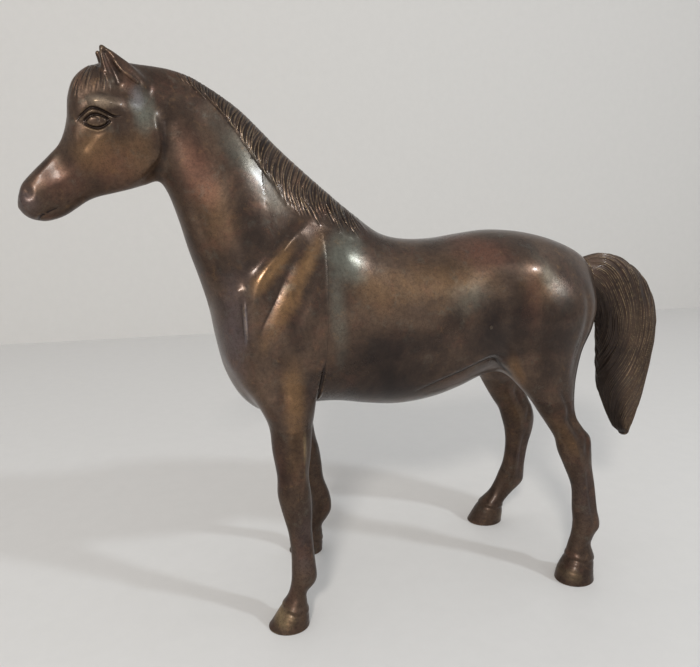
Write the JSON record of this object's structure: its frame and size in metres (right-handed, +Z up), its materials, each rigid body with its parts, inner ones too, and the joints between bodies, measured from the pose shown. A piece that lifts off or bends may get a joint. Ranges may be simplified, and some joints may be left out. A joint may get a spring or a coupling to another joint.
{
  "type": "horse statuette",
  "caption": "Standing horse statuette in patinated cast bronze, hollow trunk and neck castings with solid legs and tail, pinned together.",
  "frame": {"origin": "on the ground, under the middle of the horse's length and between its hooves", "axes": "+X towards the tail, so that the nose points to -X; +Y to the horse's right (far) side; +Z up"},
  "size_m": [0.4636, 0.13, 0.37],
  "materials": {
    "bronze_head": "dark brown patina over bronze, lacquered, rubbed through to a brassy tone on the brow, ears and cheek",
    "bronze_trunk": "dark brown patina over bronze, lacquered, with red-brown patches and rubbed muscle crests",
    "bronze_leg": "dark brown patina over bronze, semi-gloss, rubbed on the tendons and hooves",
    "bronze_tail": "dark brown patina with chased hair strands, rubbed on the ridges",
    "bronze_pin": "plain bronze rod, filed flush",
    "steel_fixing": "plain steel, lightly oxidised"
  },
  "bodies": {
    "root": {"head_and_neck": "bronze_head", "forehand": "bronze_trunk", "barrel_and_quarters": "bronze_trunk", "near_fore_leg": "bronze_leg", "far_fore_leg": "bronze_leg", "near_hind_leg": "bronze_leg", "far_hind_leg": "bronze_leg", "tail": "bronze_tail", "tail_stud": "steel_fixing", "tail_nut": "steel_fixing", "tail_washer": "steel_fixing", "neck_joint_pins": "bronze_pin", "girth_joint_pins": "bronze_pin", "fore_leg_pins": "bronze_pin", "hind_leg_pins": "bronze_pin", "core_pins": "bronze_pin", "belly_core_plug": "bronze_pin"}
  },
  "joints": []
}
